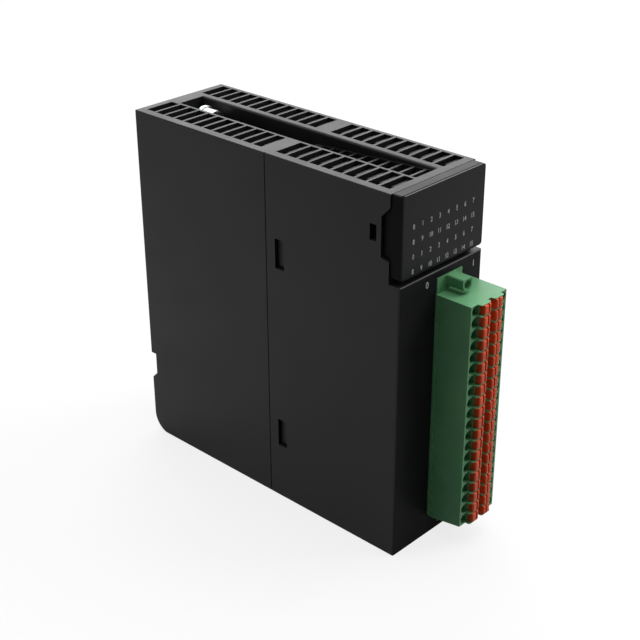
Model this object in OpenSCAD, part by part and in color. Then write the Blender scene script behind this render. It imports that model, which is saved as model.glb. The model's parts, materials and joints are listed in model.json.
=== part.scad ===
// Slim rack-mounted output module with a pull-off terminal plug of two columns.
// Millimetres. +Z is up, the terminal face looks along -Y and the back goes to the rack.
// Inside the modules x = 0 is the middle of the width, y = 0 the terminal face and z = 0 the
// underside. The finished part is then moved along Y so that its box is centred on the origin.

/* [Housing] */
// Width across the rack
body_w = 35; // [32:0.5:48]
// Depth of the front housing, from the terminal face to the seam
front_d = 48.6; // [42:0.1:70]
// Depth of the rear housing, from the seam to the back
rear_d = 54.2; // [46:0.1:80]
// Thickness of the side, top and bottom walls
wall = 2; // [1.5:0.1:2.6]
// Thickness of the back wall
back_t = 3.2; // [2.6:0.1:5]
// Rounding of the long outer edges
edge_r = 0.3; // [0.2:0.1:1.2]
// Rounding of the front housing's upright front edges
face_r = 0.6; // [0.3:0.1:1]
// Rounding of the lower back corner
heel_r = 6.3; // [4:0.1:9]
// Small gap between pieces that are fitted together
fit = 0.2; // [0.1:0.05:0.3]
// Width of the parting groove between the two housings
parting_w = 0.35; // [0.2:0.05:0.6]
// Depth of the parting groove
parting_d = 0.2; // [0.1:0.05:0.3]

/* [Rack groove] */
// Height of the groove's lower edge in the back
groove_z = 19.5; // [12:0.1:26]
// Opening of the groove in the back
groove_h = 9.1; // [6:0.1:12]
// Depth of the groove
groove_d = 2.1; // [1:0.1:2.2]

/* [Top grille] */
// Width of one slot along the depth
slot_w = 3.3; // [2:0.05:3.5]
// Least width of the bar between two slots
slot_bar = 0.7; // [0.6:0.05:1.6]
// Length of the sunk step behind each bar
slot_step_len = 2.3; // [1:0.05:2.6]
// Depth of the sunk step at the bar
slot_step_d = 0.62; // [0.4:0.02:1.2]
// How much the step falls towards the back
slot_step_fall = 0.3; // [0.1:0.05:0.6]
// Length of each slot's left end that has no step
slot_open = 3.4; // [1:0.1:5]
// Plain margin left of the left strip
strip_left = 2.7; // [2.2:0.1:4]
// Plain margin right of the right strip
strip_right = 1.4; // [1:0.1:3]
// Plain strip in front of the first slot
grille_front = 6.4; // [5.6:0.1:9]
// Plain strip in front of the seam
seam_front = 1.6; // [1:0.1:4]
// Plain strip behind the seam
seam_rear = 4.05; // [3:0.05:6]
// Plain strip at the back
grille_back = 2.2; // [1:0.1:4]
// Plain strip in front of the bottom slots
bottom_front = 20; // [18:0.5:26]

/* [Screwdriver channel] */
// Space between the fixing screw's washer and the channel's side walls
channel_side = 0.5; // [0.4:0.05:1.8]
// Offset of the channel to the right of the middle
channel_shift = 0.6; // [-1:0.05:1]
// Width of the wall on the channel's left side
rim_left = 1.35; // [0.9:0.05:2]
// Width of the wall on the channel's right side
rim_right = 2.2; // [0.9:0.1:2.4]
// Rounding of the channel's upper edges
shoulder_r = 0.7; // [0.3:0.05:0.8]
// Front end of the channel
channel_front = 6.6; // [6.5:0.1:9]
// Length of the steep lead-in at the front
lead_len = 2.4; // [1.8:0.1:6]
// Depth of the channel at the end of the lead-in
lead_d = 0.95; // [0.9:0.05:3]
// Depth of the channel at the seam
ramp_d = 3.7; // [3.4:0.1:5]
// Thickness of the channel floor
floor_t = 1.6; // [1.2:0.1:2.2]
// Plain floor to the right of the channel slots
floor_margin = 0.3; // [0.2:0.1:3]
// Space between the washer and the floor of the rear trough
channel_under = 0.5; // [0.3:0.1:3]
// Thickness of the wall behind the trough
trough_back_t = 4.9; // [4:0.1:8]

/* [Fixing screw] */
// Depth of the screw's axis below the top face
screw_depth = 4.6; // [4.3:0.1:8]
// Radius of the thread
screw_r = 2; // [1.5:0.05:2.2]
// Radius of the head
screw_head_r = 3.3; // [2.8:0.05:3.7]
// Length of the head
screw_head_len = 4.4; // [3:0.1:6]
// Width and depth of the cross recess
screw_recess = 1; // [0.6:0.1:1.4]
// Radius of the washer
washer_r = 3.8; // [3.5:0.05:5]
// Thickness of the washer
washer_t = 1.2; // [0.8:0.1:2]
// How far the screw is driven from its drawn-back rest
screw_travel = 5; // [2:0.1:5.5]
// Radial clearance of the screw in its washer and in the back wall
screw_fit = 0.2; // [0.1:0.05:0.3]

/* [Side snaps] */
// Distance from the seam to the windows
snap_back = 3.3; // [3:0.1:6]
// Length of a window along the depth
snap_len = 3.5; // [2.5:0.1:5]
// Height of a window
snap_h = 9.1; // [6:0.1:10]
// Height of the middle of the lower windows above the underside
snap_low = 22.7; // [18:0.1:30]
// Depth of the middle of the upper windows below the top
snap_high = 28.8; // [24:0.1:34]
// Thickness of a snap tongue
tongue_t = 1.4; // [1:0.1:2]
// Length of a tongue's root inside the rear housing
tongue_root = 7; // [4:0.5:12]
// Gap above and below a tongue in its window
tongue_gap = 0.6; // [0.3:0.1:1]
// How far a tongue's hook stays behind the outer face
hook_inset = 1.1; // [0.3:0.1:1.2]

/* [Display] */
// Height of the display cover
display_h = 23.5; // [23.5:0.1:32]
// Gap between the display cover and the terminal face below it
display_gap = 1.6; // [1:0.1:3]
// Distance from the terminal face back to the side walls' upper front edge
setback = 3.8; // [3:0.1:4.2]
// Thickness of the lens
lens_t = 0.5; // [0.4:0.1:1.2]
// Rounding of the corners of the lens and the cover
lens_r = 0.9; // [0.5:0.1:2]
// How far the cover stays inside the side faces
cover_inset = 0.4; // [0.1:0.05:0.8]
// How far the lens stays inside the cover's outline at the sides and below
lens_inset = 0.4; // [0.25:0.05:0.8]
// Gap between the lens and the frame round it
lens_fit = 0.1; // [0.05:0.01:0.2]
// Width of the groove round the cover behind the lens
line_w = 0.35; // [0.2:0.05:0.6]
// Depth of the groove behind the lens
line_d = 0.3; // [0.2:0.05:0.45]
// Width of the cover's rim around its window
cover_rim = 1.2; // [1.05:0.05:1.3]
// Depth of the skirt that enters the housing
skirt_d = 2.2; // [1.5:0.1:2.3]
// Thickness of the skirt and the snap arms
skirt_t = 0.9; // [0.8:0.1:1.3]
// Depth of the tab notch in the side walls
tab_d = 2.85; // [2:0.05:3.5]
// Distance from the top to the tab notch
tab_top = 3.7; // [2.5:0.1:5]
// Height of the tab notch at the wall's front edge
tab_h = 15.2; // [13:0.1:16]
// Height of the slope at the top of the notch
tab_slope = 3; // [2:0.1:4]
// Height of the slope at the bottom of the notch
tab_foot = 0.7; // [0.4:0.1:2]
// How far the tabs stay behind the side faces
tab_inset = 0.9; // [0.6:0.1:1.4]
// Distance from the wall's front edge to the display snap windows
arm_back = 4.45; // [4.2:0.05:6]
// Length of a display snap window
arm_len = 2.3; // [1.8:0.1:3]
// Height of a display snap window
arm_h = 4.7; // [3:0.1:5]
// Depth of the middle of the display snap windows below the top
arm_depth = 11.95; // [10:0.05:14]

/* [Indicators] */
// Lamps in one row
lamp_columns = 8; // [4:1:8]
// Rows of lamps
lamp_rows = 4; // [2:1:4]
// Distance between lamps in a row
lamp_pitch_x = 3.54; // [2.6:0.02:3.6]
// Distance between rows
lamp_pitch_z = 4.2; // [3:0.05:4.25]
// Gap between the lowest light pipes and the lower edge of the cover's window
lamp_gap = 0.05; // [0.05:0.05:0.3]
// Offset of the rows to the right of the middle
lamp_shift = -0.05; // [-0.3:0.05:0.3]
// Width of one lamp
lamp_w = 0.7; // [0.5:0.1:1.2]
// Depth of one lamp
lamp_t = 0.7; // [0.4:0.1:1]
// Height of one lamp
lamp_h = 1.6; // [0.8:0.1:2]
// Radius of a light pipe
pipe_r = 0.45; // [0.3:0.05:0.5]
// Thickness of the light guide's plate
guide_t = 1.2; // [0.8:0.1:1.5]
// Width of the legs between the light guide and its board
guide_leg_w = 2.4; // [1:0.1:3]
// Height of the legs between the light guide and its board
guide_leg_h = 1.4; // [0.8:0.1:1.8]
// Thickness of the circuit boards
board_t = 1.6; // [1:0.1:2]
// Distance from the walls' upper front edge to the display board
lamp_board_back = 4.1; // [3.9:0.1:5]

/* [Terminal plug] */
// Terminals in one column
pole_count = 20; // [16:1:20]
// Distance between terminals
pole_pitch = 3.5; // [3.4:0.05:4.5]
// Width of the plug
plug_w = 15.6; // [15.4:0.1:18]
// Space between the plug and the right side face
plug_right = 3.95; // [3:0.05:5]
// How far the plug stands out of the terminal face
plug_reach = 11.7; // [10:0.1:16]
// How far the plug enters its socket
plug_insert = 10; // [8:0.1:14]
// Height of the plain foot below the lowest terminals
plug_foot = 1.5; // [0.8:0.1:3]
// Length of the plug's underside that stays level in front of the terminal face
plug_level = 2; // [1:0.1:4]
// Thickness of the plug's back plate
plug_back_t = 2; // [1.2:0.1:3]
// Clearance of the plug in its socket
plug_fit = 0.3; // [0.2:0.05:0.5]
// Thickness of the plug's front wall
plug_front_t = 4.5; // [3.5:0.1:6]
// Thickness of the rib between two terminals
rib_t = 0.4; // [0.4:0.05:0.5]
// Thickness of the outer wall beside the contact chambers
plug_side_t = 0.7; // [0.5:0.05:1]
// Distance from the plug's side to a wire entry's axis
funnel_x = 1.95; // [1.9:0.05:2.2]
// Radius of a wire entry's mouth
funnel_r = 1.45; // [1.25:0.01:1.49]
// Radius of a wire hole
wire_r = 1.15; // [0.7:0.05:1.2]
// Depth of a wire entry's mouth
funnel_d = 3.3; // [1:0.1:3.6]
// Wall between a wire entry's mouth and the button's pocket
entry_wall = 0.35; // [0.3:0.05:0.5]
// Length of a coding notch in the plug's left side
notch_len = 0.9; // [0.5:0.1:1.4]
// Height of a coding notch
notch_h = 1.5; // [0.8:0.1:2.4]
// Depth of a coding notch
notch_d = 0.3; // [0.2:0.05:0.5]
// Distance from the terminal face to the coding notches
notch_out = 0.7; // [0.4:0.1:2]

/* [Release buttons] */
// Distance from the plug's side to a button's pocket
pocket_x = 3.7; // [3.6:0.05:4.2]
// Width of a button
button_w = 2.8; // [2.4:0.05:3]
// How far a button stands out of the plug's front
button_proud = 1.85; // [1.1:0.05:2.2]
// How far a button is pushed
button_travel = 1.1; // [0.6:0.1:1.4]
// Clearance of a button in its pocket
button_fit = 0.1; // [0.05:0.01:0.15]
// Rounding of a button's front edges
button_r = 0.45; // [0.2:0.05:0.7]
// Distance from a button's outer side to the middle of its screwdriver slot
button_slot_x = 1.7; // [1.2:0.05:1.9]
// Width of the screwdriver slot in a button
button_slot_w = 0.6; // [0.4:0.05:0.8]
// Depth of the screwdriver slot in a button
button_slot_d = 0.7; // [0.4:0.05:1]
// Length of a button's stop lip along its travel
lip_len = 1.1; // [0.8:0.1:1.6]
// How far the stop lip stands out sideways
lip_w = 0.45; // [0.3:0.05:0.5]
// How far the ribs between the buttons stand out of the plug's front
rib_proud = 1.45; // [0.8:0.05:2]
// Distance from the plug's side to the ribs
rib_x = 2.8; // [2.6:0.05:3.6]
// Length of the ribs across the plug's front
rib_len = 4.2; // [3.9:0.05:4.4]
// Rounding of the ribs' ends
rib_round = 0.7; // [0.3:0.05:0.75]

/* [Plug lugs] */
// Height of a lug above the plug
lug_h = 4.65; // [4.5:0.05:6.5]
// Distance from the plug's left side to a lug's screw axis
lug_x = 5.8; // [4:0.1:6.5]
// Half of the width of a lug's boss
lug_r = 2; // [1.8:0.05:2.2]
// Distance from a lug's top to its screw axis
lug_top = 1.85; // [1.7:0.05:2.2]
// Bevel of a boss's upper edges
lug_bevel = 0.3; // [0.2:0.05:0.4]
// How far the boss stands out of the terminal face
lug_reach = 5.9; // [5:0.1:8]
// Distance from the plug's left side to a lug's flange
flange_x = 0.2; // [0.2:0.1:1]
// Width of a lug's flange
flange_w = 10.7; // [9:0.1:13]
// How far the flange stands out of the terminal face
flange_out = 0.1; // [0.1:0.1:2]
// How far the flange enters the terminal face
flange_in = 2.4; // [1.8:0.1:3]
// Radius of a plug screw's thread
plug_screw_r = 0.9; // [0.7:0.05:1]
// Radius of a plug screw's head
plug_screw_head_r = 1.3; // [1.2:0.01:1.4]
// Length of a plug screw's head
plug_screw_head_len = 1.7; // [1.2:0.1:2.2]
// Depth of the head's front below the boss's front face
plug_screw_sink = 1.6; // [1:0.1:2]
// Length of a plug screw below its head
plug_screw_len = 11; // [9:0.1:12]
// Width and depth of the slot in a plug screw
plug_screw_slot = 0.5; // [0.3:0.05:0.7]
// Radial clearance of the plug screws
plug_screw_fit = 0.1; // [0.05:0.01:0.15]
// Length of the threaded block behind a flange
nut_len = 7.5; // [7:0.1:10]
// Wall left below the lower lug
sill_h = 1.4; // [0.6:0.05:2]
// Wall left above the upper lug
ledge_t = 2.1; // [1:0.05:3]
// Bevel of the ledge's front edge
ledge_bevel = 0.25; // [0.2:0.05:0.6]
// Depth of the ledge over the socket
ledge_d = 6; // [4.5:0.1:10]

/* [Socket and contacts] */
// Thickness of the socket's walls
socket_t = 1.2; // [0.8:0.1:1.2]
// Depth of the header's block in the socket
header_t = 2.6; // [2:0.1:4]
// Thickness of the header's flange behind the socket
header_flange_t = 2; // [1.2:0.1:3]
// Distance from the plug's side to a column of header pins
pin_x = 4; // [3.2:0.1:4.6]
// Width of a header pin
pin_w = 0.8; // [0.5:0.05:0.9]
// How far the header pins enter the plug
pin_reach = 6.5; // [5:0.1:7]
// Distance between the two rows of bent legs, and from the flange to the first
leg_step = 2; // [1.6:0.1:3]
// Clearance of a pin in the header and in the plug's back
pin_fit = 0.15; // [0.1:0.05:0.2]
// Outer width of a contact's sleeve
sleeve_w = 2.2; // [2:0.1:2.6]
// Thickness of a contact's spring leaf
leaf_t = 0.4; // [0.3:0.05:0.6]
// Height of a contact
contact_h = 2.2; // [1.8:0.05:2.4]

/* [Main board] */
// Distance between the socket's wall and the main board
board_gap = 2.8; // [2:0.1:4]
// Height of the rails that hold the main board
rail_h = 2.5; // [1.5:0.1:4]
// Thickness of a rail
rail_t = 1.2; // [0.8:0.1:2]
// Distance between the trough's underside and the main board
board_under = 2.5; // [0.5:0.1:8]
// Thickness of an output driver
driver_t = 1.6; // [1:0.1:2.2]
// Length of an output driver along the depth
driver_d = 6; // [4:0.1:8]
// Height of an output driver
driver_h = 5; // [3:0.1:7]
// Distance between output drivers along the depth
driver_step_y = 12; // [10:0.5:14]
// Distance between output drivers upwards
driver_step_z = 9.5; // [8:0.5:11]
// Columns of output drivers along the depth
driver_columns = 4; // [1:1:4]
// Distance from the header to the first drivers
driver_front = 8; // [6:0.5:14]
// Least plain height of the board below and above the drivers
driver_margin = 9; // [6:0.5:14]

/* [Bus connector] */
// Width of the bus connector
bus_w = 8; // [7:0.1:9]
// Depth of the bus connector
bus_d = 9; // [7:0.1:12]
// How far the bus connector stays behind the back face
bus_sink = 0.6; // [0.2:0.1:1.5]
// Height of the lowest bus contact
bus_z = 46; // [36:0.5:56]
// Contacts in one column
bus_count = 12; // [6:1:14]
// Distance between bus contacts
bus_pitch = 2.54; // [2:0.02:2.54]
// Distance of a contact column from the connector's middle
bus_column = 1.9; // [1.5:0.1:2.2]
// Width of a bus contact
bus_pin_w = 0.6; // [0.4:0.05:0.8]
// Depth of the contact tips behind the connector's back
bus_tip = 1.5; // [0.5:0.1:3]

/* [Hidden] */
$fn = 48;
over = 1;

left = -body_w / 2;
right = body_w / 2;
body_d = front_d + rear_d;

plug_x1 = right - plug_right;
plug_x0 = plug_x1 - plug_w;
plug_z0 = sill_h + plug_fit + lug_h;
pole_z0 = plug_z0 + plug_foot;
plug_z1 = pole_z0 + pole_count * pole_pitch;
plug_end = plug_insert - plug_back_t;
ledge_z = plug_z1 + lug_h + plug_fit + ledge_t;
display_z = ledge_z + display_gap;
body_h = display_z + display_h;

front_reach = plug_reach + button_proud;
mid_y = (body_d - front_reach) / 2;

channel_x0 = channel_shift - washer_r - channel_side;
channel_x1 = channel_shift + washer_r + channel_side;
rim_x0 = channel_x0 - rim_left;
rim_x1 = channel_x1 + rim_right;
trough_d = screw_depth + washer_r + channel_under;
lead_y = channel_front + lead_len;
trough_y = body_d - trough_back_t;
screw_z = body_h - screw_depth;
washer_y = trough_y - screw_travel - washer_t;

snap_y1 = front_d - snap_back;
snap_y0 = snap_y1 - snap_len;
snap_levels = [snap_low, body_h - snap_high];
arm_y0 = setback + arm_back;
arm_y1 = arm_y0 + arm_len;
arm_z = body_h - arm_depth;
tab_z1 = body_h - tab_top;
tab_z0 = tab_z1 - tab_h;
inner_half = body_w / 2 - wall;

lamp_board_y = setback + lamp_board_back;
lamp_y = lamp_board_y - lamp_t;
guide_y = setback + fit;
guide_half = inner_half - 2 * fit - skirt_t;
guide_z0 = ledge_z + 2 * fit + skirt_t;
guide_z1 = body_h - wall - 2 * fit - skirt_t;
lamp_board_z1 = body_h - ramp_d - floor_t - 2 * fit;

header_y = plug_insert + plug_fit;
socket_d = header_y + header_t;
header_back = socket_d + header_flange_t;
cell_y = plug_front_t - plug_reach;
cell_h = pole_pitch - rib_t;
pocket_w = button_w + 2 * button_fit;
button_h = cell_h - 2 * button_fit;
chamber_w = pocket_x + pocket_w + button_fit - plug_side_t;
boss_x = plug_x0 + lug_x;
lug_axis = lug_h - lug_top;
screw_seat = plug_screw_sink + plug_screw_head_len - lug_reach;
flange_x0 = plug_x0 + flange_x;

board_x1 = plug_x0 - plug_fit - socket_t - board_gap;
board_x0 = board_x1 - board_t;
board_z0 = wall + fit;
board_z1 = body_h - trough_d - floor_t - board_under;
driver_rows = floor((board_z1 - board_z0 - 2 * driver_margin - driver_h) / driver_step_z) + 1;
bus_y1 = body_d - bus_sink;
bus_y0 = bus_y1 - bus_d;
bus_z0 = bus_z - bus_pitch;
bus_z1 = bus_z + bus_count * bus_pitch;

plastic_black = [0.09, 0.09, 0.1];
plastic_dark = [0.05, 0.05, 0.06];
plug_green = [0.3, 0.5, 0.34];
button_orange = [0.78, 0.25, 0.12];
steel = [0.78, 0.79, 0.8];
brass = [0.8, 0.68, 0.4];
board_green = [0.12, 0.35, 0.2];

// Names of the two button columns
column_names = ["left", "right"];
function two_digits(value) = str(value < 10 ? "0" : "", value);
function button_name(column, pole) =
    str("release_button_", column_names[column], "_", two_digits(pole));

fixed_nodes = ["rear_housing", "front_housing", "display_cover", "display_lens", "light_guide",
    "indicator_lamps", "display_board", "main_board", "output_drivers", "bus_connector",
    "bus_contacts", "terminal_header", "header_pins", "plug_body", "plug_back", "clamp_contacts",
    "plug_screw_upper", "plug_screw_lower", "fixing_screw", "fixing_washer"];

// Evenly spread starts of slots between two places along the depth
function slot_count(y0, y1) = floor((y1 - y0 + slot_bar) / (slot_w + slot_bar));
function slot_step(y0, y1) = (y1 - y0 - slot_w) / (slot_count(y0, y1) - 1);
function slot_starts(y0, y1) =
    [for (k = [0:slot_count(y0, y1) - 1]) y0 + k * slot_step(y0, y1)];

front_slots = slot_starts(grille_front, front_d - seam_front);
rear_slots = slot_starts(front_d + seam_rear, body_d - grille_back);
bottom_slots = slot_starts(bottom_front, front_d - seam_front);
heel_slots = slot_starts(front_d + seam_rear, body_d - heel_r);

// Depth of the channel floor below the top at a place along the depth
function floor_depth(y) = lead_d + (ramp_d - lead_d) * (y - lead_y) / (front_d - lead_y);

// Height of the middle of a terminal, counted from 1 at the top
function pole_z(pole) = plug_z1 - (pole - 0.5) * pole_pitch;
function lamp_x(column) = lamp_shift + (column - (lamp_columns - 1) / 2) * lamp_pitch_x;
function lamp_z(row) =
    display_z + cover_rim + lamp_gap + pipe_r + (lamp_rows - 1 - row) * lamp_pitch_z;

// Puts a finished piece into the part's own frame
module placed() {
    translate([0, -mid_y, 0]) children();
}

// Box between two places on each axis
module block(x, y, z) {
    translate([x[0], y[0], z[0]]) cube([x[1] - x[0], y[1] - y[0], z[1] - z[0]]);
}

// Profile drawn in y and z, carried along x
module along_x(x0, x1) {
    translate([x0, 0, 0]) rotate([90, 0, 90]) linear_extrude(x1 - x0) children();
}

// Profile drawn in x and z, carried along y
module along_y(y0, y1) {
    translate([0, y1, 0]) rotate([90, 0, 0]) linear_extrude(y1 - y0) children();
}

// Profile drawn in x and y, carried along z
module along_z(z0, z1) {
    translate([0, 0, z0]) linear_extrude(z1 - z0) children();
}

// Round bar along y
module rod(x, z, y0, y1, r) {
    translate([x, y0, z]) rotate([-90, 0, 0]) cylinder(r = r, h = y1 - y0);
}

// Copies a piece of the left side to the right side
module both_sides() {
    children();
    mirror([1, 0, 0]) children();
}

// Rectangle with round corners between two places
module round_rect(x0, z0, x1, z1, r) {
    translate([x0 + r, z0]) square([x1 - x0 - 2 * r, z1 - z0]);
    translate([x0, z0 + r]) square([x1 - x0, z1 - z0 - 2 * r]);
    for (x = [x0 + r, x1 - r])
        for (z = [z0 + r, z1 - r])
            translate([x, z]) circle(r);
}

// Side view of the rear housing, with the round lower back corner
module heel_profile(y0, y1, z0, z1, r) {
    translate([y0, z0]) square([y1 - y0 - r, z1 - z0]);
    translate([y0, z0 + r]) square([y1 - y0, z1 - z0 - r]);
    translate([y1 - r, z0 + r]) circle(r);
}

// Row of slots through the top wall, each with a sunk step behind the bar in front of it
module top_slots(starts, x0, x1) {
    for (y = starts) {
        along_x(x0, x1)
            polygon([[y, body_h + over], [y + slot_w, body_h + over],
                [y + slot_w, body_h - wall - over], [y + slot_step_len, body_h - wall - over],
                [y + slot_step_len, body_h - slot_step_d - slot_step_fall],
                [y, body_h - slot_step_d]]);
        block([x0, x0 + slot_open], [y, y + slot_w], [body_h - wall - over, body_h + over]);
    }
}

// Row of straight slots through the bottom wall
module bottom_vents(starts) {
    for (y = starts) {
        block([left + strip_left, board_x0 - 2 * rail_t], [y, y + slot_w], [-over, wall + over]);
        block([board_x1 + 2 * rail_t, right - strip_right], [y, y + slot_w], [-over, wall + over]);
    }
}

// The two strips of slots beside the channel
module grille(starts) {
    top_slots(starts, left + strip_left, rim_x0);
    top_slots(starts, rim_x1, right - strip_right);
}

// Outline of the channel in x and z, with round upper edges
module channel_outline(depth) {
    polygon(concat(
        [[channel_x0, body_h - depth]],
        [for (angle = [0:15:90])
            [channel_x0 - shoulder_r * (1 - cos(angle)), body_h - shoulder_r * (1 - sin(angle))]],
        [[channel_x0 - shoulder_r, body_h + over], [channel_x1 + shoulder_r, body_h + over]],
        [for (angle = [90:-15:0])
            [channel_x1 + shoulder_r * (1 - cos(angle)), body_h - shoulder_r * (1 - sin(angle))]],
        [[channel_x1, body_h - depth]]));
}

// Rails that hold the lower edge of the main board
module board_rails(y0, y1) {
    block([board_x0 - fit - rail_t, board_x0 - fit], [y0, y1], [wall - fit, wall + rail_h]);
    block([board_x1 + fit, board_x1 + fit + rail_t], [y0, y1], [wall - fit, wall + rail_h]);
}

// Snap tongue of the rear housing, left side, with its hook in the window
module snap_tongue(z) {
    half = snap_h / 2 - tongue_gap;
    inner = left + wall;
    block([inner - fit, inner + fit + tongue_t], [front_d, front_d + tongue_root],
        [z - half, z + half]);
    block([inner + fit, inner + fit + tongue_t], [snap_y0 + fit, front_d + over],
        [z - half, z + half]);
    block([left + hook_inset, inner + fit + tongue_t / 2], [snap_y0 + fit, snap_y1 - fit],
        [z - half, z + half]);
}

module rear_housing() {
    color(plastic_black) placed() {
        difference() {
            intersection() {
                union() {
                    along_y(front_d, body_d)
                        round_rect(left + parting_d, parting_d, right - parting_d, body_h, edge_r);
                    along_y(front_d + parting_w, body_d) round_rect(left, 0, right, body_h, edge_r);
                }
                along_x(left, right) heel_profile(front_d, body_d, 0, body_h, heel_r);
            }
            difference() {
                along_x(left + wall, right - wall)
                    heel_profile(front_d - over, body_d - back_t, wall, body_h - wall,
                        max(heel_r - wall, edge_r));
                block([rim_x0, rim_x1], [front_d - 2 * over, body_d],
                    [body_h - trough_d - floor_t, body_h]);
            }
            block([channel_x0, channel_x1], [front_d + floor_t, trough_y],
                [body_h - trough_d, body_h + over]);
            along_y(front_d - over, trough_y) channel_outline(ramp_d);
            grille(rear_slots);
            bottom_vents(heel_slots);
            rod(channel_shift, screw_z, trough_y - over, body_d + over, screw_r + screw_fit);
            block([-bus_w / 2 - fit, bus_w / 2 + fit], [body_d - back_t - over, body_d + over],
                [bus_z0 - fit, bus_z1 + fit]);
            along_x(left - over, right + over)
                polygon([[body_d + over, groove_z - over], [body_d + over, groove_z + groove_h],
                    [body_d - groove_d, groove_z + groove_h],
                    [body_d - groove_d, groove_z + groove_d]]);
        }
        board_rails(front_d, bus_y0 - fit);
        both_sides()
            for (z = snap_levels)
                snap_tongue(z);
    }
}

// Flat outline of the tab notch in y and z, drawn smaller by a gap
module tab_outline(gap) {
    y1 = setback + tab_d - gap;
    polygon([[setback - over, tab_z0 + gap], [setback, tab_z0 + gap],
        [y1, tab_z0 + tab_foot + gap], [y1, tab_z1 - tab_slope - gap],
        [setback, tab_z1 - gap], [setback - over, tab_z1 - gap]]);
}

// Places a lug's pieces, drawn above z = 0, at the upper end of the plug, or at the lower end
// after half a turn about the plug's middle
module at_lug(upper) {
    if (upper)
        translate([0, 0, plug_z1]) children();
    else
        translate([plug_x0 + plug_x1, 0, plug_z0]) rotate([0, 180, 0]) children();
}

// Solid parts that the front housing has inside its shell
module front_inner_walls() {
    block([plug_x0 - plug_fit - socket_t, right - wall / 2], [wall / 2, socket_d],
        [plug_z0 - plug_fit - socket_t, plug_z1 + plug_fit + socket_t]);
    for (upper = [false, true])
        at_lug(upper)
            block([plug_x0 - plug_fit - socket_t, flange_x0 + flange_w + socket_t],
                [wall / 2, flange_in + nut_len], [0, lug_h + plug_fit + (upper ? fit : 0)]);
    along_x(rim_x0, rim_x1)
        polygon([[channel_front, body_h - wall / 2], [channel_front, body_h - wall],
            [lead_y, body_h - lead_d - floor_t], [front_d, body_h - ramp_d - floor_t],
            [front_d, body_h - wall / 2]]);
    board_rails(header_back + fit, front_d);
}

// Everything that is cut out of the front housing for the plug
module plug_openings() {
    block([plug_x0 - plug_fit, plug_x1 + plug_fit], [-over, socket_d + over],
        [plug_z0 - plug_fit, plug_z1 + plug_fit]);
    for (upper = [false, true])
        at_lug(upper) {
            block([flange_x0 - plug_fit, flange_x0 + flange_w + plug_fit],
                [-over, flange_in + fit], [-over, lug_h + plug_fit]);
            rod(boss_x, lug_axis, flange_in, flange_in + nut_len + over,
                plug_screw_r + plug_screw_fit);
        }
}

// Channel between the rims, and the slots in its ramped floor
module channel_cuts() {
    intersection() {
        along_y(channel_front, front_d + over) channel_outline(ramp_d + over);
        along_x(rim_x0, rim_x1)
            polygon([[channel_front, body_h], [lead_y, body_h - lead_d],
                [front_d + over, body_h - floor_depth(front_d + over)],
                [front_d + over, body_h + over], [channel_front, body_h + over]]);
    }
    for (y = front_slots)
        if (y > channel_front - slot_bar)
            block([channel_x0, channel_x1 - floor_margin], [max(y, channel_front), y + slot_w],
                [body_h - ramp_d - 2 * floor_t, body_h]);
}

module front_housing() {
    color(plastic_black) placed()
        difference() {
            union() {
                difference() {
                    intersection() {
                        along_y(0, front_d) round_rect(left, 0, right, body_h, edge_r);
                        along_x(left, right)
                            polygon([[0, 0], [front_d, 0], [front_d, body_h], [setback, body_h],
                                [setback, ledge_z], [ledge_bevel, ledge_z],
                                [0, ledge_z - ledge_bevel]]);
                        along_z(-over, body_h + over)
                            round_rect(left, 0, right, front_d + over, face_r);
                    }
                    along_x(left + wall, right - wall)
                        polygon([[wall, wall], [front_d + over, wall],
                            [front_d + over, body_h - wall], [-over, body_h - wall],
                            [-over, ledge_z], [ledge_d, ledge_z], [ledge_d, ledge_z - ledge_t],
                            [wall, ledge_z - ledge_t]]);
                }
                front_inner_walls();
            }
            plug_openings();
            channel_cuts();
            grille(front_slots);
            bottom_vents(bottom_slots);
            both_sides() {
                for (z = snap_levels)
                    block([left - over, left + wall + fit], [snap_y0, snap_y1],
                        [z - snap_h / 2, z + snap_h / 2]);
                block([left - over, left + wall + fit], [arm_y0, arm_y1],
                    [arm_z - arm_h / 2, arm_z + arm_h / 2]);
                along_x(left - over, left + wall + fit) tab_outline(0);
            }
        }
}

// Outline of the cover's front, drawn smaller by a margin
module display_outline(margin) {
    round_rect(left + cover_inset + margin, display_z + margin, right - cover_inset - margin,
        body_h - margin, max(lens_r - margin, edge_r));
}

// Outline of the lens up to a height, drawn larger by a gap
module lens_outline(gap, z1) {
    inset = cover_inset + lens_inset - gap;
    round_rect(left + inset, display_z + lens_inset - gap, right - inset, z1, lens_r);
}

// Tab in the side wall's notch and snap arm behind it, left side
module cover_side() {
    inner = left + wall + fit;
    along_x(left + tab_inset, inner + skirt_t) tab_outline(fit);
    block([inner, inner + skirt_t], [setback - over, arm_y1 - fit],
        [arm_z - arm_h / 2 + fit, arm_z + arm_h / 2 - fit]);
    block([inner - 2 * fit, inner + fit], [arm_y0 + fit, arm_y1 - fit],
        [arm_z - arm_h / 2 + fit, arm_z + arm_h / 2 - fit]);
}

module display_cover() {
    skirt_half = inner_half - fit;
    color(plastic_dark) placed()
        difference() {
            union() {
                along_y(0, setback - fit)
                    difference() {
                        display_outline(0);
                        lens_outline(lens_fit, body_h + over);
                    }
                along_y(lens_t, setback - fit) display_outline(lens_inset + line_d);
                along_y(lens_t + line_w, setback - fit) display_outline(0);
                block([-skirt_half, skirt_half], [setback - over, setback + skirt_d],
                    [ledge_z + fit, body_h - wall - fit]);
                both_sides() cover_side();
            }
            block([-skirt_half + skirt_t, skirt_half - skirt_t], [setback, setback + tab_d + over],
                [ledge_z + fit + skirt_t, body_h - wall - fit - skirt_t]);
            along_y(lens_t - over, setback + over) display_outline(cover_rim);
            block([-body_w, body_w], [0, setback], [0, display_z]);
        }
}

module display_lens() {
    color([0.13, 0.13, 0.15]) placed()
        along_y(0, lens_t) lens_outline(0, body_h);
}

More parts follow.
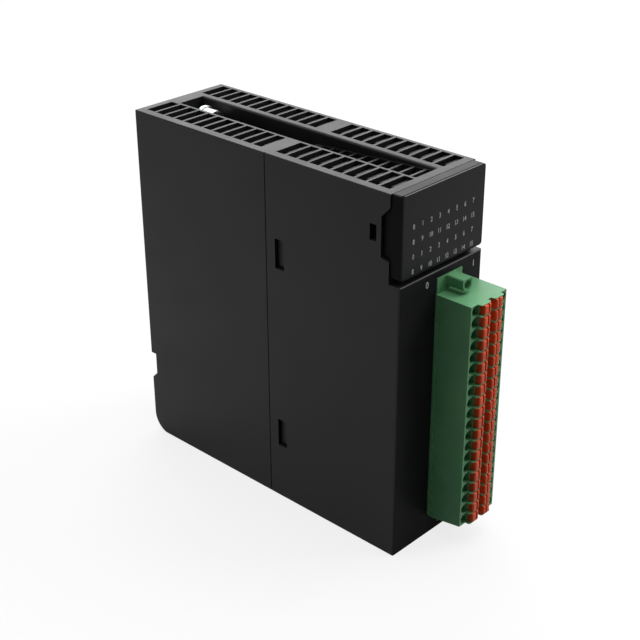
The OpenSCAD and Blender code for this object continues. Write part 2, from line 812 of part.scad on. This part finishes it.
// Place of every lamp, with its children drawn there
module each_lamp() {
    for (row = [0:lamp_rows - 1])
        for (column = [0:lamp_columns - 1])
            translate([lamp_x(column), 0, lamp_z(row)])
                children();
}

module light_guide() {
    color([0.85, 0.87, 0.88]) placed() {
        block([-guide_half, guide_half], [guide_y, guide_y + guide_t], [guide_z0, guide_z1]);
        each_lamp() rod(0, 0, lens_t, lamp_y, pipe_r);
        for (x = [-guide_half, guide_half - guide_leg_w])
            for (z = [lamp_z(lamp_rows - 1) + lamp_pitch_z / 2, lamp_z(0) - lamp_pitch_z / 2])
                block([x, x + guide_leg_w], [guide_y, lamp_board_y],
                    [z - guide_leg_h / 2, z + guide_leg_h / 2]);
    }
}

module indicator_lamps() {
    color([0.9, 0.9, 0.75]) placed()
        each_lamp()
            block([-lamp_w / 2, lamp_w / 2], [lamp_y, lamp_board_y], [-lamp_h / 2, lamp_h / 2]);
}

module display_board() {
    color(board_green) placed()
        block([-guide_half, guide_half], [lamp_board_y, lamp_board_y + board_t],
            [guide_z0, lamp_board_z1]);
}

module main_board() {
    color(board_green) placed()
        block([board_x0, board_x1], [header_back + fit, bus_y0 - fit],
            [board_z0, board_z1]);
}

module output_drivers() {
    color(plastic_dark) placed()
        for (column = [0:driver_columns - 1])
            for (row = [0:driver_rows - 1])
                translate([board_x0 - driver_t, header_back + driver_front + column * driver_step_y,
                    board_z0 + driver_margin + row * driver_step_z])
                    cube([driver_t, driver_d, driver_h]);
}

// Pin along y that turns to the main board, seen from above and carried along z
module bent_pin(x, tip_y, leg_y, w) {
    y0 = min(tip_y, leg_y - w / 2);
    y1 = max(tip_y, leg_y + w / 2);
    along_z(-w / 2, w / 2) {
        translate([x - w / 2, y0]) square([w, y1 - y0]);
        translate([board_x1, leg_y - w / 2]) square([x - board_x1, w]);
    }
}

// Places of the header pins: a column's x and the depth of its bent legs
header_columns = [[plug_x0 + pin_x, header_back + leg_step],
    [plug_x1 - pin_x, header_back + 2 * leg_step]];
bus_columns = [[-bus_column, bus_y0 - leg_step], [bus_column, bus_y0 - 2 * leg_step]];

module terminal_header() {
    half = pin_w / 2 + pin_fit;
    color(plastic_dark) placed()
        difference() {
            union() {
                block([plug_x0, plug_x1], [header_y, socket_d + over], [plug_z0, plug_z1]);
                block([plug_x0 - plug_fit - socket_t, right - wall - fit], [socket_d, header_back],
                    [plug_z0 - plug_fit - socket_t, plug_z1 + plug_fit + socket_t]);
            }
            for (column = header_columns)
                for (pole = [1:pole_count])
                    translate([column[0], 0, pole_z(pole)])
                        block([-half, half], [header_y - over, header_back + over], [-half, half]);
        }
}

module header_pins() {
    color(brass) placed()
        for (column = header_columns)
            for (pole = [1:pole_count])
                translate([0, 0, pole_z(pole)])
                    bent_pin(column[0], plug_insert - pin_reach, column[1], pin_w);
}

module bus_connector() {
    half = bus_pin_w / 2 + pin_fit;
    color(plastic_dark) placed()
        difference() {
            block([-bus_w / 2, bus_w / 2], [bus_y0, bus_y1], [bus_z0, bus_z1]);
            for (column = bus_columns)
                for (k = [0:bus_count - 1])
                    translate([column[0], 0, bus_z + k * bus_pitch])
                        block([-half, half], [bus_y0 - over, bus_y1 + over], [-half, half]);
        }
}

module bus_contacts() {
    color(brass) placed()
        for (column = bus_columns)
            for (k = [0:bus_count - 1])
                translate([0, 0, bus_z + k * bus_pitch])
                    bent_pin(column[0], bus_y1 - bus_tip, column[1], bus_pin_w);
}

// Moves a piece drawn for the left column to either column and to one terminal
module at_pole(column, pole) {
    translate([column == 0 ? plug_x0 : plug_x1, 0, pole_z(pole)])
        mirror([column, 0, 0])
            children();
}

// Copies a piece drawn for the left column to every terminal
module each_pole() {
    for (column = [0:1])
        for (pole = [1:pole_count])
            at_pole(column, pole)
                children();
}

// Side view of the plug's block, with its underside rising to the front
module plug_profile() {
    polygon([[-plug_reach, pole_z0], [-plug_level, plug_z0], [plug_end, plug_z0],
        [plug_end, plug_z1], [-plug_reach, plug_z1]]);
}

// Round-fronted column that the ribs between the buttons are cut from, seen from above
module rib_column() {
    front = -plug_reach - rib_proud;
    translate([rib_x, front + rib_round]) square([rib_len, rib_proud - rib_round + over]);
    translate([rib_x + rib_round, front]) square([rib_len - 2 * rib_round, rib_proud]);
    for (x = [rib_x + rib_round, rib_x + rib_len - rib_round])
        translate([x, front + rib_round]) circle(rib_round);
}

// Space of one terminal seen from above: gap between two ribs, button pocket, contact chamber
module pole_space() {
    x1 = pocket_x + pocket_w;
    front = -plug_reach - rib_proud - over;
    polygon([[rib_x - fit, front], [rib_x + rib_len + fit, front],
        [rib_x + rib_len + fit, -plug_reach], [x1, -plug_reach], [x1, cell_y],
        [plug_side_t + chamber_w, cell_y], [plug_side_t + chamber_w, plug_end + over],
        [plug_side_t, plug_end + over], [plug_side_t, cell_y], [pocket_x, cell_y],
        [pocket_x, -plug_reach], [rib_x - fit, -plug_reach]]);
}

// Mouth of a wire entry, round on the outer side, and the hole behind it
module wire_entry() {
    along_y(-plug_reach - over, funnel_d - plug_reach) {
        translate([funnel_x, 0]) circle(funnel_r);
        translate([funnel_x, -funnel_r])
            square([pocket_x - entry_wall - funnel_x, 2 * funnel_r]);
    }
    rod(funnel_x, 0, -plug_reach, cell_y + over, wire_r);
}

// Lug with its flange, drawn above z = 0
module lug() {
    block([flange_x0, flange_x0 + flange_w], [-flange_out, flange_in], [-over, lug_h]);
    along_y(-lug_reach, flange_in)
        polygon(concat(
            [for (angle = [180:15:360])
                [boss_x + lug_r * cos(angle), lug_axis + lug_r * sin(angle)]],
            [[boss_x + lug_r, lug_h - lug_bevel], [boss_x + lug_r - lug_bevel, lug_h],
                [boss_x - lug_r + lug_bevel, lug_h], [boss_x - lug_r, lug_h - lug_bevel]]));
}

module plug_body() {
    color(plug_green) placed()
        difference() {
            union() {
                along_x(plug_x0, plug_x1) plug_profile();
                for (upper = [false, true])
                    at_lug(upper) lug();
                for (column = [0:1])
                    translate([column == 0 ? plug_x0 : plug_x1, 0, 0])
                        mirror([column, 0, 0])
                            along_z(pole_z0, plug_z1) rib_column();
            }
            each_pole() {
                along_z(-cell_h / 2, cell_h / 2) pole_space();
                wire_entry();
            }
            for (pole = [1:pole_count])
                translate([plug_x0, 0, pole_z(pole)])
                    block([-over, notch_d], [-notch_out - notch_len, -notch_out],
                        [-notch_h / 2, notch_h / 2]);
            for (upper = [false, true])
                at_lug(upper) {
                    rod(boss_x, lug_axis, -lug_reach - over, screw_seat,
                        plug_screw_head_r + plug_screw_fit);
                    rod(boss_x, lug_axis, -lug_reach, flange_in + over,
                        plug_screw_r + plug_screw_fit);
                }
        }
}

module plug_back() {
    half = pin_w / 2 + pin_fit;
    color(plug_green) placed()
        difference() {
            block([plug_x0, plug_x1], [plug_end, plug_insert], [plug_z0, plug_z1]);
            for (column = header_columns)
                for (pole = [1:pole_count])
                    translate([column[0], 0, pole_z(pole)])
                        block([-half, half], [plug_end - over, plug_insert + over], [-half, half]);
        }
}

// One contact seen from above: sleeve round the pin, and a leaf towards the wire
module contact_profile() {
    half = sleeve_w / 2;
    bore = pin_w / 2 + pin_fit;
    y0 = plug_insert - pin_reach - pin_w;
    tip_y = cell_y + lip_len + button_travel + 3 * fit;
    translate([pin_x - half, y0]) square([half - bore, plug_end - y0]);
    translate([pin_x + bore, y0]) square([half - bore, plug_end - y0]);
    translate([pin_x - half, y0 - leaf_t]) square([sleeve_w, leaf_t]);
    translate([pin_x + half - leaf_t, tip_y]) square([leaf_t, y0 - tip_y]);
    translate([funnel_x, tip_y]) square([pin_x + half - funnel_x, leaf_t]);
}

module clamp_contacts() {
    color(brass) placed()
        each_pole()
            along_z(-contact_h / 2, contact_h / 2) contact_profile();
}

// Plug screw drawn for the upper lug
module plug_screw() {
    head_y = plug_screw_sink - lug_reach;
    difference() {
        union() {
            rod(boss_x, lug_axis, head_y, screw_seat, plug_screw_head_r);
            rod(boss_x, lug_axis, head_y, screw_seat + plug_screw_len, plug_screw_r);
        }
        translate([boss_x, 0, lug_axis])
            block([-plug_screw_slot / 2, plug_screw_slot / 2], [head_y - over, head_y + plug_screw_slot],
                [-lug_r, lug_r]);
    }
}

module plug_screw_upper() {
    color(steel) placed() at_lug(true) plug_screw();
}

module plug_screw_lower() {
    color(steel) placed() at_lug(false) plug_screw();
}

module fixing_screw() {
    head_y = washer_y - screw_head_len;
    tip_y = body_d - screw_fit;
    color(steel) placed()
        difference() {
            union() {
                rod(channel_shift, screw_z, head_y, washer_y, screw_head_r);
                rod(channel_shift, screw_z, head_y, tip_y, screw_r);
            }
            translate([channel_shift, 0, screw_z])
                for (turn = [0, 90])
                    rotate([0, turn, 0])
                        block([-screw_r, screw_r], [head_y - over, head_y + 2 * screw_recess],
                            [-screw_recess / 2, screw_recess / 2]);
        }
}

module fixing_washer() {
    color(steel) placed()
        difference() {
            rod(channel_shift, screw_z, washer_y, washer_y + washer_t, washer_r);
            rod(channel_shift, screw_z, washer_y - over, washer_y + washer_t + over,
                screw_r + screw_fit);
        }
}

// Button seen from above, drawn for the left column, with its slot and stop lip
module button_profile() {
    x0 = pocket_x + button_fit;
    x1 = x0 + button_w;
    front = -plug_reach - button_proud;
    slot_x = x0 + button_slot_x;
    difference() {
        union() {
            translate([x0, front + button_r])
                square([button_w, cell_y + fit + lip_len - front - button_r]);
            translate([x0 + button_r, front]) square([button_w - 2 * button_r, over]);
            for (x = [x0 + button_r, x1 - button_r])
                translate([x, front + button_r]) circle(button_r);
            translate([x0 - lip_w, cell_y + fit]) square([lip_w + over, lip_len]);
        }
        translate([slot_x - button_slot_w / 2, front - over])
            square([button_slot_w, over + button_slot_d]);
    }
}

// Side view of a button, with its round front edges
module button_side() {
    front = -plug_reach - button_proud;
    back = cell_y + fit + lip_len;
    translate([front + button_r, -button_h / 2]) square([back - front - button_r, button_h]);
    translate([front, button_r - button_h / 2]) square([button_r + over, button_h - 2 * button_r]);
    for (z = [button_r - button_h / 2, button_h / 2 - button_r])
        translate([front + button_r, z]) circle(button_r);
}

module release_button(column, pole) {
    color(button_orange) placed()
        at_pole(column, pole)
            intersection() {
                along_z(-button_h / 2, button_h / 2) button_profile();
                along_x(0, plug_w) button_side();
            }
}

rear_housing();
front_housing();
display_cover();
display_lens();
light_guide();
indicator_lamps();
display_board();
main_board();
output_drivers();
bus_connector();
bus_contacts();
terminal_header();
header_pins();
plug_body();
plug_back();
clamp_contacts();
plug_screw_upper();
plug_screw_lower();
fixing_screw();
fixing_washer();
for (column = [0:1])
    for (pole = [1:pole_count])
        release_button(column, pole);
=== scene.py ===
import json
import math

import bpy
from mathutils import Matrix
from mathutils import Vector


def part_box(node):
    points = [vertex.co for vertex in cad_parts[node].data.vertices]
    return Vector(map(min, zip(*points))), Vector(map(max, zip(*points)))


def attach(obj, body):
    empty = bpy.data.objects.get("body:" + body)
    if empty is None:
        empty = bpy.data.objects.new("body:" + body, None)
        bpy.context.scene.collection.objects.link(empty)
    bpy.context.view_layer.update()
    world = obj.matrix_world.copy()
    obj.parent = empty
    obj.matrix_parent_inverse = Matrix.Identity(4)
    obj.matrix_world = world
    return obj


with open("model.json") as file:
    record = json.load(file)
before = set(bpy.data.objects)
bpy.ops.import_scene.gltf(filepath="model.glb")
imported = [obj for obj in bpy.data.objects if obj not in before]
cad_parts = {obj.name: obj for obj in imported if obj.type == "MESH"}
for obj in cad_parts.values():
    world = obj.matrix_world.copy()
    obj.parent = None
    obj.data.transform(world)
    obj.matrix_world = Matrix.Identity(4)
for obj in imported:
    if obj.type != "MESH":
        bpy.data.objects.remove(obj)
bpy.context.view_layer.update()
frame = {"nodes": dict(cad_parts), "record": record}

MM = 0.001
nodes = frame["nodes"]
record = frame["record"]
scene = bpy.context.scene


# Shader building blocks

def new_material(name):
    """A node material with its tree and its Principled shader."""
    material = bpy.data.materials.new(name)
    material.use_nodes = True
    return material, material.node_tree, material.node_tree.nodes["Principled BSDF"]


def add(tree, kind, **inputs):
    """Adds a node and sets its input sockets by name."""
    node = tree.nodes.new(kind)
    for key, value in inputs.items():
        node.inputs[key.replace("_", " ")].default_value = value
    return node


def remap(tree, value, **limits):
    """Maps a value from one range to another. A limit that isn't given is 0 or 1."""
    node = add(tree, "ShaderNodeMapRange", **limits)
    tree.links.new(value, node.inputs["Value"])
    return node.outputs["Result"]


def calculate(tree, operation):
    """A math node."""
    node = tree.nodes.new("ShaderNodeMath")
    node.operation = operation
    return node


def object_place(tree):
    """Coordinates that are fixed to the piece, in metres."""
    return tree.nodes.new("ShaderNodeTexCoord").outputs["Object"]


def noise(tree, size, detail):
    """Noise whose features measure about size metres."""
    texture = add(tree, "ShaderNodeTexNoise", Scale=1.0 / size, Detail=detail)
    tree.links.new(object_place(tree), texture.inputs["Vector"])
    return texture.outputs["Fac"]


def spread(tree, value, low=0.0, high=1.0):
    """Maps the middle of a noise to a range."""
    return remap(tree, value, From_Min=0.3, From_Max=0.7, To_Min=low, To_Max=high)


def shaded(color, share):
    """A colour made darker or lighter."""
    return [share * part for part in color]


def color_mix(tree, factor, first, second):
    """A node that mixes two colours by a factor."""
    mix = tree.nodes.new("ShaderNodeMix")
    mix.data_type = "RGBA"
    mix.inputs["A"].default_value = (*first, 1.0)
    mix.inputs["B"].default_value = (*second, 1.0)
    tree.links.new(factor, mix.inputs["Factor"])
    return mix


def paint(tree, shader, factor, first, second):
    """Colours a shader with a mix of two colours."""
    mix = color_mix(tree, factor, first, second)
    tree.links.new(mix.outputs["Result"], shader.inputs["Base Color"])


def relief(tree, shader, height, depth):
    """Gives a shader a bumpy surface of a given depth."""
    bump = add(tree, "ShaderNodeBump", Distance=depth)
    tree.links.new(height, bump.inputs["Height"])
    tree.links.new(bump.outputs["Normal"], shader.inputs["Normal"])


def compare_normal(tree, normal):
    """A node that gives 1 where a normal agrees with its second input, and 0 where it is square to it."""
    product = tree.nodes.new("ShaderNodeVectorMath")
    product.operation = "DOT_PRODUCT"
    tree.links.new(normal, product.inputs[0])
    return product


def edge_mask(tree, radius):
    """Near 1 along sharp edges and 0 on plain faces."""
    flat = 0.98
    sharp = 0.75
    rounded = add(tree, "ShaderNodeBevel", Radius=radius)
    product = compare_normal(tree, rounded.outputs["Normal"])
    tree.links.new(tree.nodes.new("ShaderNodeNewGeometry").outputs["Normal"], product.inputs[1])
    return remap(tree, product.outputs["Value"], From_Min=flat, From_Max=sharp)


def face_mask(tree, direction):
    """1 on faces that look along a direction, and 0 elsewhere, for a painted light or shade on that side of
    the piece.
    """
    outside = 0.75
    inside = 0.95
    product = compare_normal(tree, tree.nodes.new("ShaderNodeTexCoord").outputs["Normal"])
    product.inputs[1].default_value = direction
    return remap(tree, product.outputs["Value"], From_Min=outside, From_Max=inside)


# Materials

def moulded_plastic(name, color, worn, roughness, grain, depth, specular=0.5, face=None, painted_light_specular=0.5):
    """Moulded plastic with an eroded grain, uneven gloss and slightly rubbed edges, and optionally a
    painted shade or sheen on the faces that look along one direction.
    """
    patch_size = 14 * MM
    patch_tone = 0.12
    patch_smoother = 0.04
    patch_rougher = 0.05
    rub_radius = 0.25 * MM
    material, tree, shader = new_material(name)
    patches = noise(tree, patch_size, detail=3.0)
    darker = shaded(color, 1 - patch_tone)
    lighter = shaded(color, 1 + patch_tone)
    tone = color_mix(tree, spread(tree, patches), darker, lighter)
    rubbed = color_mix(tree, edge_mask(tree, rub_radius), color, worn)
    tree.links.new(tone.outputs["Result"], rubbed.inputs["A"])
    tree.links.new(rubbed.outputs["Result"], shader.inputs["Base Color"])
    gloss = spread(tree, patches, roughness - patch_smoother, roughness + patch_rougher)
    tree.links.new(gloss, shader.inputs["Roughness"])
    relief(tree, shader, noise(tree, grain, detail=3.0), depth)
    shader.inputs["Specular IOR Level"].default_value = specular
    # Faces that look along one direction get their own specular level: a painted shade or sheen on that
    # side, not a property of the plastic.
    if face is not None:
        level = remap(tree, face_mask(tree, face), To_Min=specular, To_Max=painted_light_specular)
        tree.links.new(level, shader.inputs["Specular IOR Level"])
    return material


def metal(name, color, roughness, grain, depth):
    """Plated or drawn metal with fine marks."""
    mark_tone = 0.9
    mark_smoother = 0.06
    mark_rougher = 0.08
    material, tree, shader = new_material(name)
    marks = noise(tree, grain, detail=4.0)
    paint(tree, shader, spread(tree, marks), shaded(color, mark_tone), color)
    gloss = spread(tree, marks, roughness - mark_smoother, roughness + mark_rougher)
    tree.links.new(gloss, shader.inputs["Roughness"])
    relief(tree, shader, marks, depth)
    shader.inputs["Metallic"].default_value = 1.0
    return material


def circuit_board(name):
    """Green lacquered board with raised copper tracks under the lacquer."""
    lacquer = (0.012, 0.12, 0.04)
    lacquer_on_copper = (0.03, 0.21, 0.08)
    track_size = 3.2 * MM
    track_height = 0.03 * MM
    material, tree, shader = new_material(name)
    cells = add(tree, "ShaderNodeTexVoronoi", Scale=1.0 / track_size)
    cells.distance = "CHEBYCHEV"
    tree.links.new(object_place(tree), cells.inputs["Vector"])
    tracks = remap(tree, cells.outputs["Distance"], From_Min=0.42, From_Max=0.45)
    paint(tree, shader, tracks, lacquer, lacquer_on_copper)
    relief(tree, shader, tracks, track_height)
    shader.inputs["Roughness"].default_value = 0.3
    return material


def smoked_lens(name):
    """Dark glossy lens with a faint unevenness in its polish."""
    dark = (0.0045, 0.0045, 0.005)
    pale = (0.0065, 0.0065, 0.0075)
    wave_size = 9 * MM
    dust_size = 0.2 * MM
    dust_height = 0.002 * MM
    material, tree, shader = new_material(name)
    waves = noise(tree, wave_size, detail=2.0)
    dust = noise(tree, dust_size, detail=2.0)
    paint(tree, shader, spread(tree, waves), dark, pale)
    tree.links.new(spread(tree, dust, 0.2, 0.28), shader.inputs["Roughness"])
    relief(tree, shader, dust, dust_height)
    shader.inputs["Specular IOR Level"].default_value = 0.08
    return material


def clear_plastic(name):
    """Milky clear plastic of the light guide and the lamps."""
    dark = (0.7, 0.73, 0.74)
    pale = (0.85, 0.87, 0.88)
    cloud_size = 2 * MM
    material, tree, shader = new_material(name)
    cloud = noise(tree, cloud_size, detail=2.0)
    paint(tree, shader, spread(tree, cloud), dark, pale)
    tree.links.new(spread(tree, cloud, 0.08, 0.2), shader.inputs["Roughness"])
    shader.inputs["Transmission Weight"].default_value = 0.6
    return material


def print_ink(name, color):
    """Printed ink with a slightly uneven cover."""
    thin_tone = 0.75
    speck_size = 0.25 * MM
    material, tree, shader = new_material(name)
    specks = noise(tree, speck_size, detail=3.0)
    paint(tree, shader, spread(tree, specks), shaded(color, thin_tone), color)
    shader.inputs["Roughness"].default_value = 0.55
    return material


# The housing's front faces reflect less than the rest: painted shade on the front.
housing = moulded_plastic("housing_plastic", color=(0.012, 0.012, 0.0125), worn=(0.024, 0.024, 0.025),
                          roughness=0.44, grain=0.22 * MM, depth=0.010 * MM, specular=0.2,
                          face=(0, -1, 0), painted_light_specular=0.03)
# The cover's sides reflect less than its top: painted shade on the sides.
cover = moulded_plastic("cover_plastic", color=(0.005, 0.005, 0.0054), worn=(0.012, 0.012, 0.013),
                        roughness=0.42, grain=0.2 * MM, depth=0.006 * MM, specular=0.04,
                        face=(0, 0, 1), painted_light_specular=0.1)
green = moulded_plastic("plug_plastic", color=(0.12, 0.325, 0.155), worn=(0.18, 0.42, 0.22),
                        roughness=0.45, grain=0.16 * MM, depth=0.005 * MM, specular=0.2)
orange = moulded_plastic("button_plastic", color=(0.78, 0.09, 0.02), worn=(0.85, 0.18, 0.07),
                         roughness=0.36, grain=0.14 * MM, depth=0.003 * MM, specular=0.18)
chip = moulded_plastic("chip_plastic", color=(0.01, 0.01, 0.01), worn=(0.02, 0.02, 0.02),
                       roughness=0.5, grain=0.1 * MM, depth=0.004 * MM)
steel = metal("screw_steel", color=(0.56, 0.57, 0.58), roughness=0.26, grain=0.12 * MM, depth=0.002 * MM)
brass = metal("contact_metal", color=(0.78, 0.6, 0.3), roughness=0.3, grain=0.15 * MM, depth=0.002 * MM)
board = circuit_board("circuit_board")
lens = smoked_lens("lens_plastic")
clear = clear_plastic("clear_plastic")
ink = print_ink("number_ink", color=(0.56, 0.56, 0.57))

slot_materials = {
    "housing_plastic": housing,
    "cover_plastic": cover,
    "lens_plastic": lens,
    "clear_plastic": clear,
    "lamp_plastic": clear,
    "circuit_board": board,
    "chip_plastic": chip,
    "contact_metal": brass,
    "plug_plastic": green,
    "button_plastic": orange,
    "screw_steel": steel,
}
node_slots = {row["node"]: row["material_slot"] for row in record["subparts"]}
for name, part in nodes.items():
    part.data.materials.clear()
    part.data.materials.append(slot_materials[node_slots[name]])


# Soft edges

def soften(part, width):
    """Rounds the sharp edges of a CAD piece a little, as a mould or a lathe tool does."""
    weld = part.modifiers.new("join", "WELD")
    weld.merge_threshold = 0.002 * MM
    bevel = part.modifiers.new("soft edges", "BEVEL")
    bevel.width = width
    bevel.segments = 2
    bevel.limit_method = "ANGLE"
    bevel.angle_limit = math.radians(40)
    part.modifiers.new("face normals", "WEIGHTED_NORMAL")


soft_edges = [
    (0.16 * MM, ["rear_housing", "front_housing"]),
    (0.2 * MM, ["display_cover", "display_lens"]),
    (0.1 * MM, ["plug_body"]),
    (0.08 * MM, [name for name in nodes if name.startswith("release_button")]),
    (0.12 * MM, ["fixing_screw", "fixing_washer", "plug_screw_upper", "plug_screw_lower"]),
]
for width, names in soft_edges:
    for name in names:
        soften(nodes[name], width)


# Printed numbers

# Half the thickness of the print
PRINT_HALF = 0.01 * MM
# Distance of the print's middle from the face that it is on
PRINT_GAP = 0.012 * MM


def number_mesh(text, height, width_share):
    """Flat number of a given height, centred, with its face towards -Y."""
    font_depth = 0.02
    stroke_growth = 0.012
    curve = bpy.data.curves.new("number", "FONT")
    curve.body = text
    curve.align_x = "CENTER"
    curve.extrude = font_depth
    curve.offset = stroke_growth
    carrier = bpy.data.objects.new("number", curve)
    mesh = bpy.data.meshes.new_from_object(carrier)
    bpy.data.objects.remove(carrier)
    bpy.data.curves.remove(curve)
    top = max(v.co.y for v in mesh.vertices)
    low = min(v.co.y for v in mesh.vertices)
    scale = height / (top - low)
    mesh.transform(Matrix.Translation((0, -(top + low) / 2, 0)))
    mesh.transform(Matrix.Diagonal((scale * width_share, scale, PRINT_HALF / font_depth, 1.0)))
    mesh.transform(Matrix.Rotation(math.radians(90), 4, "X"))
    return mesh


def printed(name, entries, face_y, height, width_share):
    """One mesh with several printed numbers on a face that looks along -Y."""
    points = []
    faces = []
    for text, x, z in entries:
        mesh = number_mesh(text, height, width_share)
        first = len(points)
        points += [v.co + Vector((x, face_y - PRINT_GAP, z)) for v in mesh.vertices]
        faces += [[first + i for i in polygon.vertices] for polygon in mesh.polygons]
        bpy.data.meshes.remove(mesh)
    made = bpy.data.meshes.new(name)
    made.from_pydata(points, [], faces)
    made.materials.append(ink)
    piece = bpy.data.objects.new(name, made)
    scene.collection.objects.link(piece)
    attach(piece, "module")


lamp_rows = 4
lamp_columns = 8
lamp_step_x = 3.54 * MM
lamp_step_z = 4.2 * MM
lamps_middle_x = -0.05 * MM
lamps_top_z = 100.7 * MM
lamps_left_x = lamps_middle_x - (lamp_columns - 1) / 2 * lamp_step_x
lamp_numbers = []
for row in range(lamp_rows):
    for column in range(lamp_columns):
        value = column + lamp_columns * (row % 2)
        x = lamps_left_x + column * lamp_step_x
        z = lamps_top_z - row * lamp_step_z
        lamp_numbers.append((str(value), x, z))
printed("display_numbers", lamp_numbers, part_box("display_lens")[0].y, height=1.4 * MM, width_share=0.82)

column_numbers = [("0", -6.15 * MM, 82.0 * MM), ("1", 13.85 * MM, 81.9 * MM)]
printed("column_numbers", column_numbers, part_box("front_housing")[0].y, height=1.9 * MM, width_share=0.9)


# Floor, light and camera

def plain_view(tree, rays):
    """1 for rays that should see a plain white surrounding, and 0 for those that carry light."""
    direct = calculate(tree, "MAXIMUM")
    tree.links.new(rays.outputs["Is Camera Ray"], direct.inputs[0])
    tree.links.new(rays.outputs["Is Glossy Ray"], direct.inputs[1])
    either = calculate(tree, "MAXIMUM")
    tree.links.new(direct.outputs["Value"], either.inputs[0])
    tree.links.new(rays.outputs["Is Transmission Ray"], either.inputs[1])
    return either.outputs["Value"]


def floor_material():
    """Paper that stays white to the eye and keeps a soft shadow, which is deeper in its mirror image."""
    tone_for_light = 0.15
    tone_for_view = 0.8
    glow_for_view = 0.8
    glow_in_mirror = 0.3
    material, tree, shader = new_material("floor_paper")
    rays = tree.nodes.new("ShaderNodeLightPath")
    seen = plain_view(tree, rays)
    tone = remap(tree, seen, To_Min=tone_for_light, To_Max=tone_for_view)
    tree.links.new(tone, shader.inputs["Base Color"])
    shader.inputs["Roughness"].default_value = 0.9
    direct_glow = calculate(tree, "MULTIPLY")
    direct_glow.inputs[1].default_value = glow_for_view
    tree.links.new(seen, direct_glow.inputs[0])
    glow_share = calculate(tree, "MULTIPLY_ADD")
    glow_share.inputs[1].default_value = glow_in_mirror - glow_for_view
    tree.links.new(rays.outputs["Is Glossy Ray"], glow_share.inputs[0])
    tree.links.new(direct_glow.outputs["Value"], glow_share.inputs[2])
    glow = add(tree, "ShaderNodeEmission", Color=(1.0, 1.0, 1.0, 1.0), Strength=1.0)
    mix = tree.nodes.new("ShaderNodeMixShader")
    tree.links.new(glow_share.outputs["Value"], mix.inputs["Fac"])
    tree.links.new(shader.outputs["BSDF"], mix.inputs[1])
    tree.links.new(glow.outputs["Emission"], mix.inputs[2])
    tree.links.new(mix.outputs["Shader"], tree.nodes["Material Output"].inputs["Surface"])
    return material


def make_floor():
    """Large flat floor under the part."""
    reach = 3.0
    corners = [(-reach, -reach, 0), (reach, -reach, 0), (reach, reach, 0), (-reach, reach, 0)]
    mesh = bpy.data.meshes.new("floor")
    mesh.from_pydata(corners, [], [(0, 1, 2, 3)])
    mesh.materials.append(floor_material())
    floor = bpy.data.objects.new("floor", mesh)
    scene.collection.objects.link(floor)


def make_world():
    """White to the eye, and a weak even light for everything else."""
    level_for_light = 0.05
    level_for_view = 1.0
    world = bpy.data.worlds.new("studio")
    world.use_nodes = True
    scene.world = world
    tree = world.node_tree
    background = tree.nodes["Background"]
    background.inputs["Color"].default_value = (1.0, 1.0, 1.0, 1.0)
    seen = plain_view(tree, tree.nodes.new("ShaderNodeLightPath"))
    level = remap(tree, seen, To_Min=level_for_light, To_Max=level_for_view)
    tree.links.new(level, background.inputs["Strength"])


def softbox(name, place, aim, width, height, power):
    """Large soft lamp that looks at a point, in metres and watts."""
    lamp = bpy.data.lights.new(name, "AREA")
    lamp.shape = "RECTANGLE"
    lamp.size = width
    lamp.size_y = height
    lamp.energy = power
    holder = bpy.data.objects.new(name, lamp)
    scene.collection.objects.link(holder)
    holder.location = place
    holder.rotation_euler = (Vector(aim) - Vector(place)).to_track_quat("-Z", "Y").to_euler()


def make_camera():
    """Camera at the photograph's place, found by fitting the case's corners."""
    place = Vector((-255.82, -240.025, 233.86)) * MM
    azimuth = math.radians(-46.835)
    elevation = math.radians(27.161)
    roll = math.radians(-0.148)
    picture_pixels = 640
    focal_pixels = 1328.73
    back = Vector((math.sin(azimuth) * math.cos(elevation), -math.cos(azimuth) * math.cos(elevation),
                   math.sin(elevation)))
    right = Vector((0, 0, 1)).cross(back).normalized()
    up = back.cross(right)
    rolled_right = right * math.cos(roll) + up * math.sin(roll)
    rolled_up = up * math.cos(roll) - right * math.sin(roll)
    turn = Matrix((rolled_right, rolled_up, back)).transposed().to_4x4()
    data = bpy.data.cameras.new("camera")
    data.sensor_fit = "HORIZONTAL"
    data.sensor_width = 36.0
    data.lens = focal_pixels / picture_pixels * data.sensor_width
    data.clip_start = 0.01
    holder = bpy.data.objects.new("camera", data)
    scene.collection.objects.link(holder)
    holder.matrix_world = Matrix.Translation(place) @ turn
    scene.camera = holder


make_floor()
make_world()
softbox("top light", place=(0.1, 0.05, 0.8), aim=(0, 0, 0.06), width=0.8, height=0.8, power=7.8)
softbox("back light", place=(0.5, 0.5, 0.45), aim=(0, 0, 0.08), width=0.7, height=0.5, power=2.8)
softbox("front light", place=(0.62, -0.45, 0.58), aim=(0, 0, 0.06), width=0.5, height=0.5, power=4.2)
make_camera()
scene.view_settings.view_transform = "Standard"
